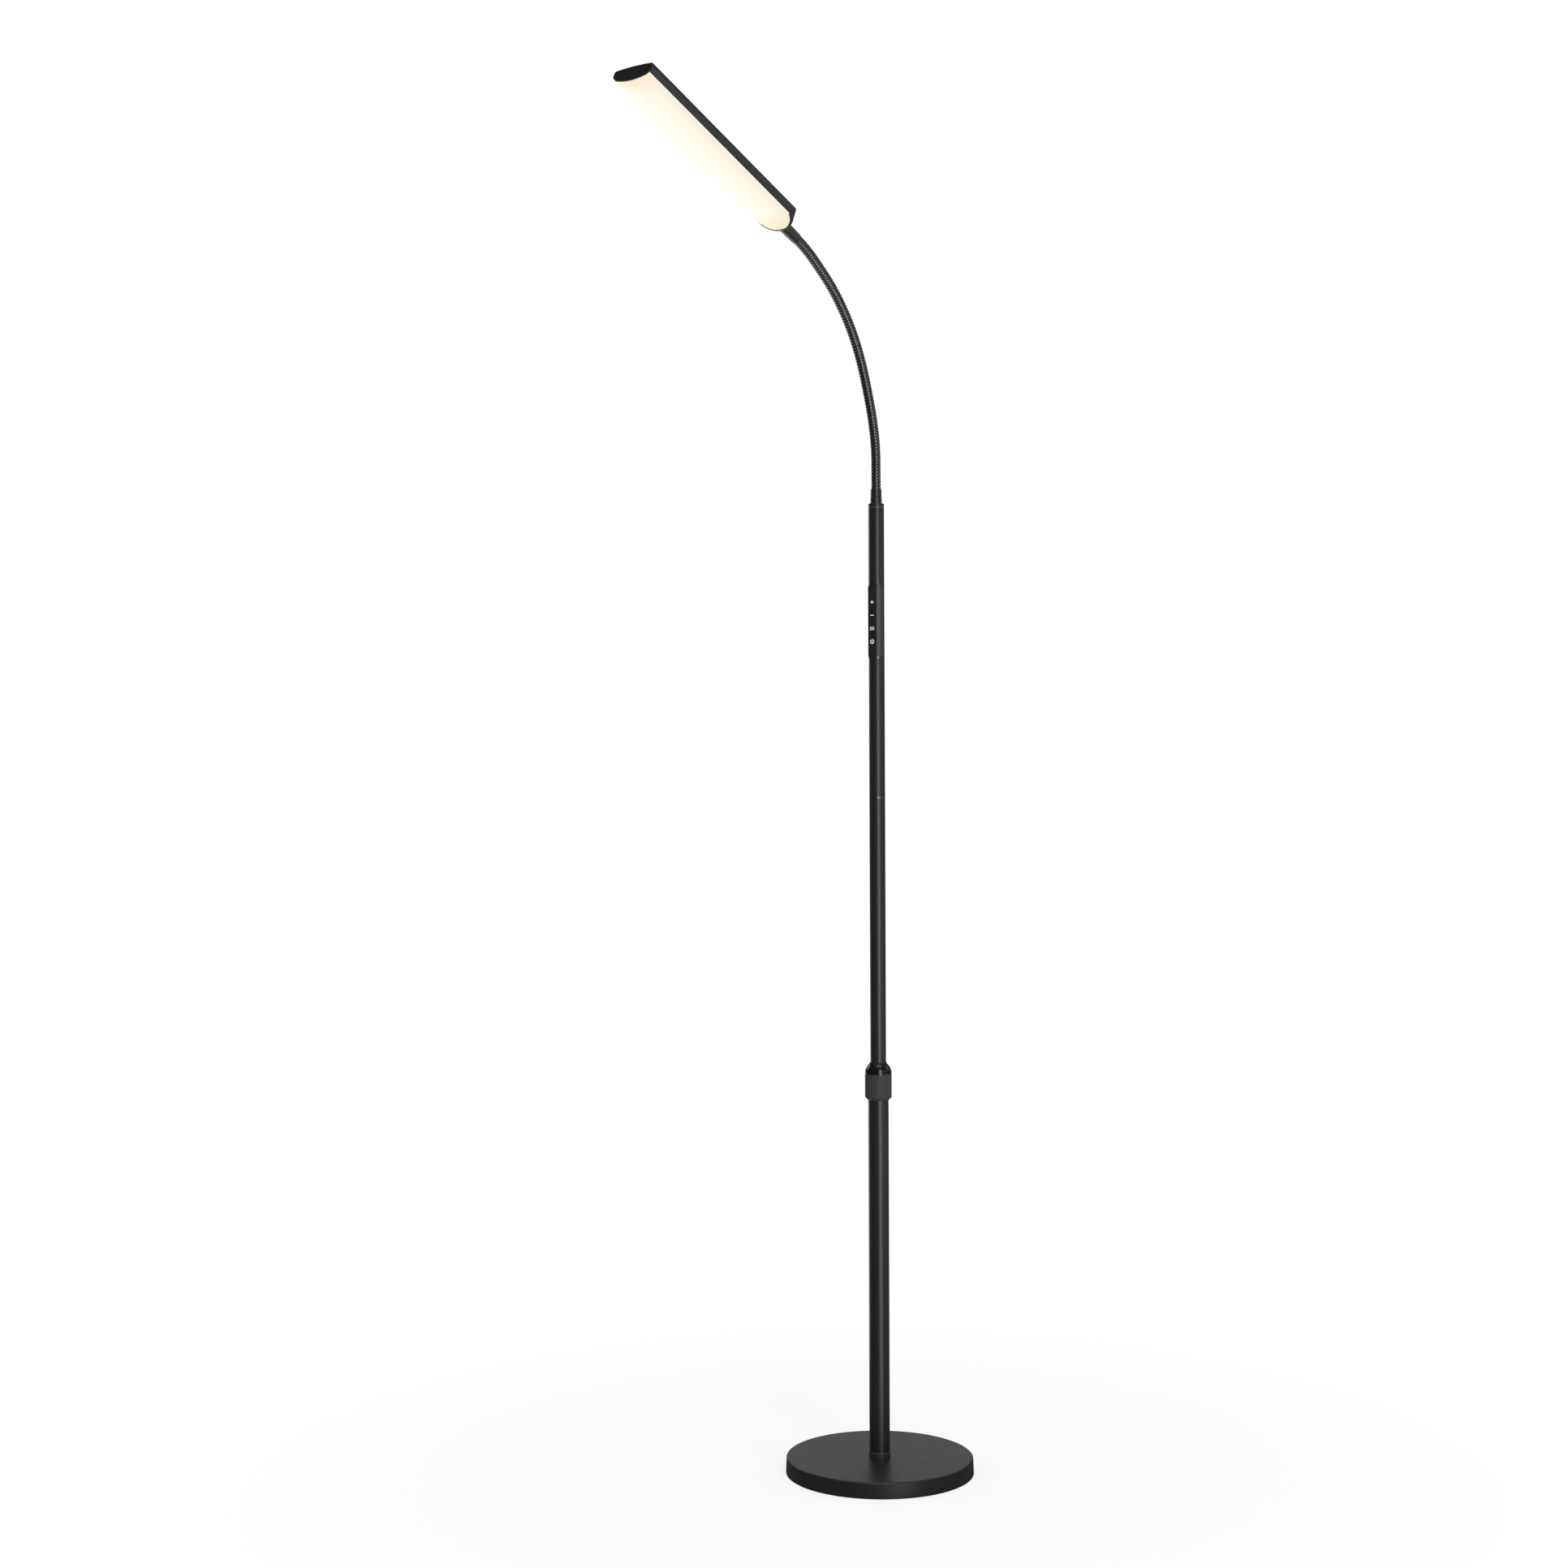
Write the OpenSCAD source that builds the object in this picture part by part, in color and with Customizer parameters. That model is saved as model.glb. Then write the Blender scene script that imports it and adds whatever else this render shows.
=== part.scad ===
// Floor lamp: a weighted round base, a two-stage pole with a twist lock, a control panel in the
// upper tube, a ribbed gooseneck and a slim flat light head. The origin is on the floor under the
// middle of the base, +Z is up and the front, where the panel and the head face, is -Y.

/* [Base] */
// Diameter of the base where it meets the floor
base_d = 229; // [190:1:300]
// How much smaller the diameter is at the top edge
base_draft = 1.4; // [0:0.1:6]
// Height of the top of the base above the floor
base_h = 20; // [17:1:40]
// Radius of the edge round the top of the base
base_edge_r = 1.6; // [1.3:0.1:4]
// Wall of the spun cover of the base
base_wall = 1.2; // [0.8:0.1:1.3]
// Thickness of the foam pad under the base
pad_t = 1.5; // [1:0.1:3]
// How far the pad stays inside the edge of the base
pad_inset = 3; // [2:0.5:10]
// Gap between the cast weight and the cover round it
weight_gap = 0.4; // [0.2:0.1:2]
// Diameter of the recess for the bolt head under the weight
recess_d = 34; // [30:1:60]
// Diameter of the bolt up into the pole
bolt_d = 10; // [8:1:12]
// Height of the bolt head
bolt_head_h = 6.4; // [5:0.1:7]
// Width across the flats of the bolt head
bolt_head_flats = 17; // [13:1:19]
// Thickness of the washer under the weight
washer_t = 2; // [1:0.1:2.5]
// Diameter of the washer
washer_d = 25; // [22:1:28]
// Length of the bolt that stands in the plug of the pole
bolt_grip = 22; // [12:1:26]

/* [Lower pole] */
// Diameter of the lower tube
lower_d = 25; // [24:0.5:32]
// Wall of the lower tube
lower_wall = 1.2; // [1:0.1:1.4]
// Length of the lower tube, from the top of the base
lower_len = 454; // [440:1:700]
// Length of the steel plug in the foot of the lower tube
plug_len = 28; // [27:1:60]
// Wall of the ring round the foot of the pole
foot_wall = 0.55; // [0.4:0.05:3]
// Height of the ring round the foot of the pole
foot_h = 6.4; // [3:0.1:20]

/* [Twist lock] */
// Diameter of the collar over its ribs
collar_d = 32.6; // [32:0.1:40]
// Height of the ribbed band, with the chamfer under it
collar_band_h = 32; // [30:0.5:45]
// Height of the chamfer under the band
collar_chamfer_h = 3.5; // [2:0.1:5]
// Height of the rounded shoulder above the band
shoulder_h = 11.3; // [9:0.1:12]
// Number of grip ribs round the collar
rib_count = 40; // [24:1:48]
// Depth of the grooves between the grip ribs
rib_depth = 0.45; // [0.2:0.05:0.6]
// Length of the lower tube that the collar covers
collar_cover = 19.7; // [17:0.1:24]
// Wall of the collet over the lower tube
collet_wall = 1.85; // [1.4:0.05:1.9]
// Depth of the collet in the lower tube
collet_depth = 12; // [8:0.5:16]
// How far the tips of the collet stand out of the collar
collet_tip_h = 2.4; // [1:0.1:4]
// Number of slots between the fingers of the collet
collet_slots = 6; // [4:1:8]
// Width of each slot of the collet
collet_slot_w = 1.2; // [0.6:0.1:2]

/* [Upper pole] */
// Diameter of the extension tube and the control tube
upper_d = 19.2; // [18:0.1:19.2]
// Wall of the extension tube and the control tube
upper_wall = 1; // [0.8:0.1:1.2]
// Length of the extension tube
extension_len = 378.4; // [375:1:640]
// Length of the plastic guide on the foot of the extension tube
guide_len = 17.7; // [12:0.1:30]
// Thickness of the lip of the guide under the tube
guide_lip = 2.5; // [1:0.1:5]
// Height of the ring that shows where the upper tubes join
joiner_ring_h = 1.2; // [0.8:0.1:4]
// Depth of the joiner in each of the upper tubes
joiner_depth = 16.4; // [10:0.1:40]
// Length of the control tube
control_len = 352.3; // [345:1:600]
// Height of the cap on the control tube
cap_h = 5.6; // [4:0.1:10]
// Depth of the cap in the control tube
cap_depth = 14; // [8:0.5:20]

/* [Control panel] */
// Length of the cover along its front face
panel_len = 95; // [90:1:120]
// Height of the middle of the cover above the joint of the upper tubes
panel_up = 214.4; // [200:1:240]
// Width of the flat front face
panel_w = 12.7; // [11:0.1:13]
// Distance from the axis of the tube to the flat front face
panel_front = 8.8; // [8.6:0.1:9]
// Wall of the cover
panel_wall = 1.1; // [0.9:0.05:1.2]
// Slope of the ends of the cover, in degrees
panel_slope = 36; // [20:1:45]
// Diameter of each button
button_d = 8; // [6:0.1:8.4]
// Distance from one button to the next
button_pitch = 16; // [12:0.1:18]
// How far the buttons stand proud of the front face
button_proud = 0.5; // [0.3:0.1:1]
// Travel of the buttons
button_travel = 0.6; // [0.3:0.05:0.6]
// Thickness of the control board
board_t = 1.2; // [1:0.1:1.4]
// Diameter of the barrel of the power socket
socket_d = 9; // [8:0.1:9.4]
// Diameter of the hole of the power socket
socket_bore_d = 6.2; // [5.8:0.1:6.6]
// Diameter of the centre pin of the power socket
socket_pin_d = 2; // [1.6:0.05:2.5]

/* [Gooseneck] */
// Diameter over the ribs
neck_d = 11.7; // [11:0.1:12]
// Depth of the grooves between the ribs
neck_groove = 0.45; // [0.3:0.05:0.7]
// Diameter of the bore for the wires
neck_bore_d = 6.8; // [4:0.1:7]
// Length of the gooseneck that shows, along its middle line
neck_len = 337.5; // [320:0.5:420]
// Angle between the two ends as it is bent in the picture, in degrees
neck_turn = 66.5; // [20:0.5:90]
// Share of each tenth of the gooseneck in that angle, in percent
neck_shares = [0.8, 15.3, 9.9, 4.2, 10.1, 13.4, 11.2, 13.0, 5.6, 16.5];
// Number of ribs on each tenth
ribs_per_part = 9; // [6:1:10]
// Share of the pitch that a rib fills
rib_share = 0.66; // [0.4:0.02:0.7]
// Radius of the ball face on which each tenth turns on the one below
ball_r = 9; // [8:0.1:12]
// Gap between the ball face and its seat
ball_gap = 0.3; // [0.2:0.05:0.5]
// Depth of the gooseneck in the ferrule at each end
neck_socket = 12; // [8:0.5:14]

/* [Ferrules] */
// Length of the ferrule under the gooseneck
lower_ferrule_len = 18; // [16:0.5:26]
// Diameter of the lower ferrule at its foot
lower_ferrule_d = 14.1; // [13.6:0.1:17]
// Diameter of the lower ferrule above its foot
lower_ferrule_top_d = 13.4; // [13:0.1:13.6]
// Diameter of the threaded stem under the lower ferrule
stem_d = 10; // [9.4:0.1:10.4]
// Length of the ferrule between the gooseneck and the head
head_ferrule_len = 29; // [26:0.5:34]
// Diameter of the head ferrule where the gooseneck goes in
head_ferrule_d = 12.4; // [12.3:0.1:13]
// Diameter of the head ferrule at the head
head_ferrule_top_d = 13.8; // [13:0.1:14]
// Diameter of the hollow nipple that holds the head
nipple_d = 6; // [5:0.1:6.4]

/* [Head] */
// Length of the head
head_len = 286; // [240:1:340]
// Width of the diffuser
head_w = 50; // [49:0.5:51]
// Width of the back of the head
back_w = 58; // [57:0.5:60]
// Radius of the round end of the back at the gooseneck
back_round_r = 31; // [30.6:0.1:33]
// Distance from the axis of the ferrule to the back of the head
head_back = 10.7; // [10.4:0.1:11.5]
// Distance from the axis of the ferrule to the front of the diffuser
head_front = 7.4; // [7.2:0.1:9]
// Radius of the crown of the back
back_crown_r = 261; // [150:1:500]
// Radius of the crown of the diffuser
front_crown_r = 69; // [66:1:160]
// Radius of the long edges of the back
back_edge_r = 5; // [4.4:0.1:5]
// Radius of the long edges of the diffuser
front_edge_r = 4.5; // [3.5:0.1:5]
// Distance from the axis of the ferrule to the joint of the diffuser and the housing
head_split = 1.2; // [0.8:0.1:1.6]
// Radius of the round end of the head at the gooseneck
head_round_r = 27; // [26.6:0.1:28]
// Radius of the corners beside the round end
near_corner_r = 10; // [8:0.5:12]
// Radius of the corners at the far end
far_corner_r = 2.5; // [2:0.1:2.8]
// Rim of the head round the diffuser at the round end
near_rim = 2.4; // [2:0.1:2.6]
// Distance from the middle of the round end to the point where its rim stops at the sides
rim_run = 6; // [4:0.5:7]
// Rim of the head at the far end of the diffuser
end_rim = 1.2; // [0.9:0.1:1.6]
// Thickness of the wall at the round end
near_wall = 3.4; // [3:0.1:4]
// Width of the ledge under the edge of the diffuser
ledge_w = 1.4; // [1:0.1:1.6]
// Thickness of the diffuser
diffuser_t = 1.8; // [1.5:0.1:2]
// Thickness of the back of the head in the middle
head_back_t = 5.9; // [5.6:0.1:6.2]
// Gap between the end of the head at the gooseneck and the light board
led_near_gap = 18; // [17:0.5:30]
// Gap between the far end of the head and the light board
led_far_gap = 10; // [6:0.5:30]
// Width of the light board
led_board_w = 42; // [36:0.5:42]
// Thickness of the light board
led_board_t = 1.6; // [1:0.1:1.8]
// Distance of the outer screws from the ends of the light board
led_screw_inset = 20; // [10:1:60]
// Number of light chips in each of the two rows
chip_count = 28; // [12:1:36]

/* [Hidden] */
$fn = 64;

// Clearances: a tight seat, a shaft that slides or turns, and a cover in its opening
seat_gap = 0.05;
slide_gap = 0.08;
cover_gap = 0.15;
// Overlap of a cutting shape past the face that it cuts
past = 1;

// Heights along the pole
base_top = base_h;
cover_foot = 0.8;
plug_top = base_top + plug_len;
lower_top = base_top + lower_len;
collar_foot = lower_top - collar_cover;
band_top = collar_foot + collar_band_h;
collar_top = band_top + shoulder_h;
collet_flange_h = 4;
collet_foot = lower_top - collet_depth;
stop_gap = 0.3;
guide_top = collet_foot - stop_gap;
extension_foot = guide_top - guide_len;
extension_top = extension_foot + extension_len;
control_foot = extension_top + joiner_ring_h;
control_top = control_foot + control_len;
cap_top = control_top + cap_h;
panel_z = control_foot + panel_up;
neck_foot = cap_top + lower_ferrule_len;

// Radii of the pole
lower_r = lower_d / 2;
lower_bore_r = lower_r - lower_wall;
upper_r = upper_d / 2;
upper_bore_r = upper_r - upper_wall;
collar_r = collar_d / 2;
collet_r = lower_r + seat_gap + collet_wall;
collet_bore_r = upper_r + slide_gap;
bolt_r = bolt_d / 2 - 0.1;
bolt_hole_r = bolt_d / 2 + 0.5;
stem_r = stem_d / 2;

// The control board and what stands on it, as distances along Y
board_front = -4.1;
board_back = board_front + board_t;
board_w = 13.2;
board_len = panel_len - 14;
cover_back = -0.9;
switch_front = board_front - 1.2;
panel_inside = -panel_front + panel_wall;
flange_front = panel_inside + 0.2;
flange_back = flange_front + 0.6;
stem_back = flange_back + 0.4;
actuator_front = stem_back + button_travel + 0.1;
button_zs = [for (k = [1.5, 0.5, -0.5, -1.5]) panel_z - 1 + k * button_pitch];
socket_z = panel_z - panel_len / 2 + 13;
socket_floor = 0.5;
socket_mouth = upper_r + 0.4;
header_z = panel_z + panel_len / 2 - 14;
header_h = 6;
wire_r = 0.6;
wire_x = 0.75;

// The gooseneck
part_count = len(neck_shares);
part_len = neck_len / part_count;
rib_pitch = part_len / ribs_per_part;
rib_r = neck_d / 2;
core_r = rib_r - neck_groove;
neck_bore_r = neck_bore_d / 2;
end_bore_r = neck_bore_r + 0.1;
end_step = 0.6;
share_sum = [for (i = 0, s = 0; i < part_count; s = s + neck_shares[i], i = i + 1) s + neck_shares[i]];
function bend(i) = neck_turn * max(neck_shares[i], 0.5) / share_sum[part_count - 1];
function bend_radius(i) = part_len * 180 / (PI * bend(i));
function chord(i) = 2 * bend_radius(i) * sin(bend(i) / 2);
function lean(i) = i == 0 ? 0 : lean(i - 1) + bend(i - 1);
function neck_y(i) = i == 0 ? 0 : neck_y(i - 1) - chord(i - 1) * sin(lean(i - 1) + bend(i - 1) / 2);
function neck_z(i) = i == 0 ? neck_foot
    : neck_z(i - 1) + chord(i - 1) * cos(lean(i - 1) + bend(i - 1) / 2);

// The head, in its own frame: x across, -y to the front, z along it from the gooseneck
head_side = head_w / 2;
seat_half = head_ferrule_top_d / 2 + 0.2;
round_z = sqrt(head_round_r * head_round_r - seat_half * seat_half);
ceiling_y = head_back - head_back_t;
side_in = 2.4;
head_depth = 2 * head_back;
led_board_len = head_len - led_near_gap - led_far_gap;
led_board_front = ceiling_y - led_board_t;
nipple_r = nipple_d / 2;
nipple_len = 8;
nipple_bore_r = nipple_r - 0.9;
head_wall = end_rim + ledge_w;
head_nut_h = 3;
head_nut_flats = 8;
chip_w = 2.8;
chip_len = 3.5;
chip_t = 0.7;
chip_margin = 6;
led_screw_r = 1.2;
led_screw_depth = 1.1;
led_screw_zs = [led_near_gap + led_screw_inset, led_near_gap + led_board_len / 2,
    led_near_gap + led_board_len - led_screw_inset];
plug_w = 4.8;
plug_h = 3;
plug_block_len = 5;
wire_y = 0.9;

// Helpers

// A tube standing from one height to another
module ring(outer_r, inner_r, from, to) {
    translate([0, 0, from])
        difference() {
            cylinder(r = outer_r, h = to - from);
            translate([0, 0, -past])
                cylinder(r = inner_r, h = to - from + 2 * past);
        }
}

// A cylinder lying along Y, from one distance to another
module along_y(r, from, to) {
    translate([0, from, 0])
        rotate([-90, 0, 0])
            cylinder(r = r, h = to - from);
}

// A box between two corners
module block(low, high) {
    translate(low)
        cube(high - low);
}

// Half section of the base cover, with its draft and the round top edge
module cover_section(foot_r, top_r, h, edge_r) {
    polygon([[0, 0], [foot_r, 0], [top_r, h - edge_r], [0, h - edge_r]]);
    square([top_r - edge_r, h]);
    translate([top_r - edge_r, h - edge_r])
        circle(edge_r);
}

// Base

module base_cover() {
    foot_r = base_d / 2;
    top_r = foot_r - base_draft / 2;
    h = base_top - cover_foot;
    color("#26262a")
        difference() {
            translate([0, 0, cover_foot])
                rotate_extrude()
                    intersection() {
                        difference() {
                            cover_section(foot_r, top_r, h, base_edge_r);
                            translate([0, -past])
                                cover_section(foot_r - base_wall, top_r - base_wall,
                                    h - base_wall + past, base_edge_r - base_wall / 2);
                        }
                        square([base_d, h]);
                    }
            cylinder(r = bolt_hole_r, h = base_top + past);
        }
}

module base_weight() {
    weight_r = base_d / 2 - base_draft / 2 - base_wall - weight_gap;
    weight_top = base_top - base_wall;
    edge = base_edge_r;
    color("#3c3c40")
        difference() {
            union() {
                translate([0, 0, pad_t])
                    cylinder(r = weight_r, h = weight_top - pad_t - edge);
                translate([0, 0, weight_top - edge])
                    cylinder(r1 = weight_r, r2 = weight_r - edge, h = edge);
            }
            cylinder(r = bolt_hole_r, h = base_top);
            cylinder(r = recess_d / 2, h = recess_top());
        }
}

// Height of the top of the recess under the weight
function recess_top() = pad_t + bolt_head_h + washer_t + 1;

module base_pad() {
    color("#1b1b1b")
        cylinder(r = base_d / 2 - pad_inset, h = pad_t);
}

module base_washer() {
    color("#9a9a9e")
        ring(washer_d / 2, bolt_hole_r, recess_top() - washer_t, recess_top());
}

module base_bolt() {
    head_top = recess_top() - washer_t;
    color("#8a8a90") {
        translate([0, 0, head_top - bolt_head_h])
            cylinder(r = bolt_head_flats / 2 / cos(30), h = bolt_head_h, $fn = 6);
        translate([0, 0, head_top - past])
            cylinder(r = bolt_r, h = base_top + bolt_grip - head_top + past);
    }
}

module pole_plug() {
    color("#8a8a90")
        ring(lower_bore_r - seat_gap, bolt_r + slide_gap, base_top, plug_top);
}

module pole_foot() {
    color("#1f1f22")
        ring(lower_r + seat_gap + foot_wall, lower_r + seat_gap, base_top, base_top + foot_h);
}

// Lower pole and twist lock

module lower_tube() {
    color("#232326")
        ring(lower_r, lower_bore_r, base_top, lower_top);
}

// Half-width of the cone of the collet fingers at a height
cone_foot_r = upper_r + 3;
cone_top_r = upper_r + 1.3;
cone_foot = lower_top + collet_flange_h + 6;
function cone_r(z) = cone_foot_r + (cone_top_r - cone_foot_r) * (z - cone_foot) / (collar_top - cone_foot);

module clamp_collet() {
    tip = collar_top + collet_tip_h;
    color("#1a1a1c")
        difference() {
            union() {
                ring(collet_r, lower_r + seat_gap, lower_top - collar_cover + 5, lower_top);
                ring(lower_bore_r - seat_gap, collet_bore_r, collet_foot, lower_top);
                ring(collet_r, collet_bore_r, lower_top, lower_top + collet_flange_h);
                rotate_extrude()
                    polygon([[collet_bore_r, lower_top + past], [cone_foot_r, lower_top + past],
                        [cone_foot_r, cone_foot], [cone_top_r, collar_top],
                        [cone_top_r - 0.3, collar_top + 0.6 * collet_tip_h],
                        [collet_bore_r + 0.25, tip], [collet_bore_r, tip]]);
            }
            for (k = [0 : collet_slots - 1])
                rotate([0, 0, k * 360 / collet_slots])
                    block([0, -collet_slot_w / 2, cone_foot - 2], [collet_r, collet_slot_w / 2, tip + past]);
        }
}

// The collar turns on the collet: a chamfer, a ribbed band and a rounded shoulder
module clamp_collar() {
    neck_r = lower_r + 0.5;
    lip = 3;
    thread_r = collet_r + slide_gap;
    seat_foot = lower_top + collet_flange_h + 0.5;
    groove_r = 0.8;
    groove_len = collar_band_h - collar_chamfer_h - 1.8;
    color("#2b2b2e")
        difference() {
            rotate_extrude()
                difference() {
                    union() {
                        polygon([[0, collar_foot], [neck_r, collar_foot],
                            [collar_r, collar_foot + collar_chamfer_h], [collar_r, band_top],
                            [0, band_top]]);
                        intersection() {
                            translate([0, band_top])
                                circle(collar_r);
                            translate([0, band_top - past])
                                square([collar_r, shoulder_h + past]);
                        }
                    }
                    polygon([[0, collar_foot - past], [lower_r + 0.25, collar_foot - past],
                        [lower_r + 0.25, collar_foot + lip], [thread_r, collar_foot + lip],
                        [thread_r, seat_foot], [cone_foot_r + 0.2, cone_foot],
                        [cone_r(collar_top + past) + 0.2, collar_top + past], [0, collar_top + past]]);
                }
            for (k = [0 : rib_count - 1])
                rotate([0, 0, k * 360 / rib_count])
                    translate([collar_r + groove_r - rib_depth, 0, collar_foot + collar_chamfer_h + 0.9])
                        cylinder(r = groove_r, h = groove_len, $fn = 24);
        }
}

// Upper pole

module guide_bush() {
    bush_r = lower_bore_r - slide_gap;
    color("#d8d8d4") {
        ring(bush_r, upper_r + seat_gap, extension_foot - past / 2, guide_top);
        ring(bush_r, upper_bore_r, extension_foot - guide_lip, extension_foot);
    }
}

module extension_tube() {
    color("#232326")
        ring(upper_r, upper_bore_r, extension_foot, extension_top);
}

module tube_joiner() {
    sleeve_r = upper_bore_r - seat_gap;
    color("#3a3a3e") {
        ring(sleeve_r, sleeve_r - 1.8, extension_top - joiner_depth, control_foot + joiner_depth);
        ring(upper_r, sleeve_r - 1.8, extension_top, control_foot);
    }
}

// The space of the control cover seen from the side, grown by a clearance, back to a distance on Y
module panel_space(grow, back) {
    rise = tan(panel_slope);
    front = 14;
    reach = front - panel_front;
    depth = panel_front + back;
    low = panel_z - panel_len / 2 - grow;
    high = panel_z + panel_len / 2 + grow;
    translate([-collar_r, 0, 0])
        rotate([90, 0, 90])
            linear_extrude(2 * collar_r)
                polygon([[-front, low - reach * rise], [back, low + depth * rise],
                    [back, high - depth * rise], [-front, high + reach * rise]]);
}

module control_tube() {
    color("#232326")
        difference() {
            ring(upper_r, upper_bore_r, control_foot, control_top);
            panel_space(cover_gap, cover_back + cover_gap);
            translate([0, 0, socket_z])
                along_y(socket_d / 2 + cover_gap, 0, collar_r);
        }
}

// Outline of the cover in plan: a flat front, a bevel, a groove and a side that follows the tube
module cover_outline() {
    half = [[panel_w / 2, -panel_front], [8.75, -4], [8.4, -3.75], [8.55, -3.4],
        [upper_r - 0.45, -3.2], [upper_r + 0.15, cover_back]];
    polygon(concat(half, [for (k = [len(half) - 1 : -1 : 0]) [-half[k].x, half[k].y]]));
}

// The hollow of the cover in plan
module cover_hollow() {
    half = [[panel_w / 2 - 0.65, panel_inside], [7.75, -3.6], [upper_r - 1.2, 0]];
    polygon(concat(half, [for (k = [len(half) - 1 : -1 : 0]) [-half[k].x, half[k].y]]));
}

// Where the corners of the flat face run down into the tube at both ends
module cover_barrel() {
    proud_r = norm([panel_w / 2, panel_front]) + 0.1;
    flush_r = upper_r + 0.16;
    low = panel_z - panel_len / 2;
    high = panel_z + panel_len / 2;
    rotate_extrude()
        polygon([[0, low - 9], [flush_r, low - 9], [flush_r, low + 2.5], [proud_r, low + 7.5],
            [proud_r, high - 7.5], [flush_r, high - 2.5], [flush_r, high + 9], [0, high + 9]]);
}

module control_cover() {
    tall = 1.2 * panel_len;
    color("#29292c")
        difference() {
            intersection() {
                translate([0, 0, panel_z - tall / 2])
                    linear_extrude(tall)
                        cover_outline();
                panel_space(0, cover_back);
                cover_barrel();
            }
            intersection() {
                translate([0, 0, panel_z - tall / 2])
                    linear_extrude(tall)
                        cover_hollow();
                panel_space(-1.5, past);
            }
            for (z = button_zs)
                translate([0, 0, z])
                    along_y(button_d / 2 + cover_gap, -panel_front - past, panel_inside + past);
        }
    color("#29292c")
        for (z = screw_zs())
            translate([0, 0, z])
                difference() {
                    along_y(screw_boss_r, panel_inside - 0.4, board_front);
                    along_y(screw_r + seat_gap, board_front - 2.6, board_front + past);
                }
}

// The board is held by two screws, halfway between the buttons
screw_r = 0.9;
screw_boss_r = 2;
function screw_zs() = [button_zs[0] - button_pitch / 2, button_zs[2] - button_pitch / 2];

module control_board() {
    color("#1d4d2b")
        difference() {
            block([-board_w / 2, board_front, panel_z - board_len / 2],
                [board_w / 2, board_back, panel_z + board_len / 2]);
            for (z = screw_zs())
                translate([0, 0, z])
                    along_y(screw_r + seat_gap, board_front - past, board_back + past);
        }
}

module board_screws() {
    color("#a9a9ad")
        for (z = screw_zs())
            translate([0, 0, z]) {
                along_y(screw_r, board_front - 2.4, board_back + 0.5);
                along_y(screw_r * 2, board_back, board_back + 1.2);
            }
}

module button_switches() {
    color("#c9c9c5")
        for (z = button_zs) {
            block([-2.6, switch_front, z - 2.6], [2.6, board_front, z + 2.6]);
            translate([0, 0, z])
                along_y(1.2, actuator_front, switch_front + 0.3);
        }
}

// The infrared receiver of the remote control, behind the dark cover
module remote_receiver() {
    z = panel_z + board_len / 2 - 5;
    color("#151517") {
        block([-2.2, board_front - 1.2, z - 2.6], [2.2, board_front, z + 2.6]);
        translate([0, 0, z])
            along_y(1.3, board_front - 2, board_front - 0.6);
    }
}

// The controller chip, the coil and the header of the wires, on the back of the board
module board_parts() {
    chip_z = panel_z - 5;
    coil_z = panel_z + 4;
    coil_r = 3.4;
    header_w = 5.2;
    color("#17171a") {
        block([-3, board_back, chip_z - 3], [3, board_back + 1.4, chip_z + 3]);
        translate([0, 0, coil_z])
            along_y(coil_r, board_back, board_back + 4.5);
    }
    color("#e4e2d8")
        difference() {
            block([-header_w / 2, board_back, header_z], [header_w / 2, 1.6, header_z + header_h]);
            for (side = [-1, 1])
                translate([side * wire_x, 0, header_z + header_h / 2])
                    cylinder(r = wire_r + seat_gap, h = header_h / 2 + past);
        }
}

// A barrel with a centre pin, through the back of the tube
module power_socket() {
    color("#141416")
        translate([0, 0, socket_z])
            difference() {
                along_y(socket_d / 2, board_back, socket_mouth);
                difference() {
                    along_y(socket_bore_d / 2, socket_floor, socket_mouth + past);
                    along_y(socket_pin_d / 2, socket_floor - past, socket_mouth - 1);
                }
            }
}

// Two wires from the board up into the foot of the gooseneck
module lamp_wires() {
    color("#7d1f1c")
        for (side = [-1, 1])
            translate([side * wire_x, 0, header_z + header_h / 2])
                cylinder(r = wire_r, h = neck_foot - header_z - header_h / 2);
}

// Buttons: a round cap, a flange that keeps it in the cover and a stem over its switch
module button(z) {
    edge = 0.3;
    color("#1c1c1f")
        translate([0, 0, z])
            rotate([-90, 0, 0])
                rotate_extrude()
                    polygon([[0, -panel_front - button_proud],
                        [button_d / 2 - edge, -panel_front - button_proud],
                        [button_d / 2, -panel_front - button_proud + edge],
                        [button_d / 2, flange_front], [button_d / 2 + 0.7, flange_front],
                        [button_d / 2 + 0.7, flange_back], [1.5, flange_back],
                        [1.5, stem_back], [0, stem_back]]);
}

module button_plus() { button(button_zs[0]); }
module button_minus() { button(button_zs[1]); }
module button_mode() { button(button_zs[2]); }
module button_power() { button(button_zs[3]); }

// The cap in the top of the tube carries the gooseneck
module tube_cap() {
    edge = 0.9;
    plug_r = upper_bore_r - seat_gap;
    groove = 0.35;
    color("#2b2b2e")
        rotate_extrude()
            difference() {
                union() {
                    translate([0, control_top - cap_depth])
                        square([plug_r, cap_depth + past]);
                    translate([0, control_top])
                        square([upper_r, cap_h - edge]);
                    translate([0, cap_top - edge - past])
                        square([upper_r - edge, edge + past]);
                    translate([upper_r - edge, cap_top - edge])
                        circle(edge);
                }
                square([stem_r + seat_gap, cap_top + past]);
                translate([upper_r - groove, control_top + 1.7])
                    square([2 * groove, 0.6]);
            }
}

module neck_nut() {
    nut_h = 5;
    nut_top = control_top - cap_depth;
    color("#8a8a90")
        difference() {
            translate([0, 0, nut_top - nut_h])
                cylinder(r = 14 / 2 / cos(30), h = nut_h, $fn = 6);
            translate([0, 0, nut_top - nut_h - past])
                cylinder(r = stem_r + seat_gap, h = nut_h + 2 * past);
        }
}

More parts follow.
